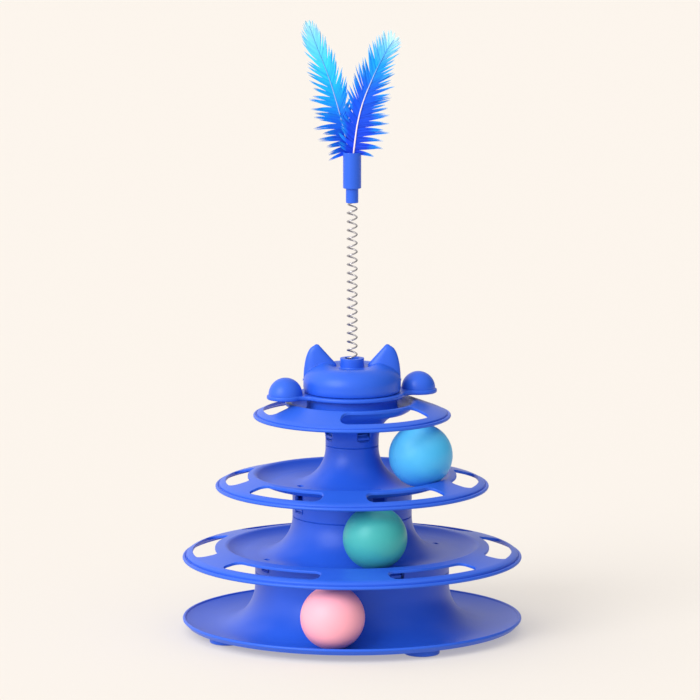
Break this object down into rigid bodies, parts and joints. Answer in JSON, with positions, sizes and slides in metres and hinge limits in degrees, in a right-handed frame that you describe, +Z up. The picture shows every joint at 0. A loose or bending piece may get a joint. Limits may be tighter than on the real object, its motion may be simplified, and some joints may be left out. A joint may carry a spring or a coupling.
{
  "type": "cat ball track toy",
  "caption": "Tiered round tower of ball tracks for a cat, with captive rolling balls, a turning plate with domed paws, a cat-eared cap and feathers on a wire spring.",
  "frame": {"origin": "on the table, under the middle of the base, on the tower's axis", "axes": "+Z up along the tower's axis, -Y towards the front with the head's ears to either side along X"},
  "size_m": [0.24, 0.24, 0.4365],
  "materials": {
    "blue_plastic": "satin moulded polypropylene, fine matt grain, soft sheen on the rims",
    "pad_rubber": "thin matt foam rubber",
    "spring_wire": "bright drawn spring wire",
    "cyan_feather": "dyed feather, pale cyan tip running to deep blue at the foot",
    "royal_feather": "dyed feather, royal blue with light cyan barb ends and a pale quill",
    "pink_plastic": "satin moulded plastic, pastel pink",
    "green_plastic": "satin moulded plastic, sea green",
    "sky_plastic": "satin moulded plastic, sky blue, faintly clouded"
  },
  "bodies": {
    "tower": {"base_tray": "blue_plastic", "foot_pads": "pad_rubber", "middle_tray": "blue_plastic", "upper_tray": "blue_plastic", "top_disc": "blue_plastic", "cat_head": "blue_plastic"},
    "turntable": {"paw_plate": "blue_plastic"},
    "lower_ball": {"pink_ball": "pink_plastic"},
    "mid_ball": {"green_ball": "green_plastic"},
    "high_ball": {"blue_ball": "sky_plastic"},
    "coil": {"wand_spring": "spring_wire"},
    "wand_head": {"spring_sleeve": "blue_plastic", "feather_ferrule": "blue_plastic", "left_feather": "cyan_feather", "right_feather": "royal_feather"}
  },
  "joints": [
    {"name": "plate_spin", "type": "hinge", "parent": "tower", "child": "turntable", "pos_m": [0, 0, 0.1694], "axis": [0, 0, 1], "continuous": true},
    {"name": "pink_ball_roll", "type": "hinge", "parent": "tower", "child": "lower_ball", "pos_m": [0, 0, 0.0278], "axis": [0, 0, 1], "continuous": true},
    {"name": "green_ball_roll", "type": "hinge", "parent": "tower", "child": "mid_ball", "pos_m": [0, 0, 0.0789], "axis": [0, 0, 1], "continuous": true},
    {"name": "blue_ball_roll", "type": "hinge", "parent": "tower", "child": "high_ball", "pos_m": [0, 0, 0.129], "axis": [0, 0, 1], "continuous": true},
    {"name": "wand_sway_side", "type": "hinge", "parent": "tower", "child": "coil", "pos_m": [0, 0, 0.2225], "axis": [0, 1, 0], "range_deg": [-60, 60], "stiffness_Nm_per_rad": 0.05, "deforming": ["wand_spring"]},
    {"name": "wand_sway_fore", "type": "hinge", "parent": "coil", "child": "wand_head", "pos_m": [0, 0, 0.278], "axis": [1, 0, 0], "range_deg": [-60, 60], "stiffness_Nm_per_rad": 0.05, "deforming": ["wand_spring"]}
  ]
}
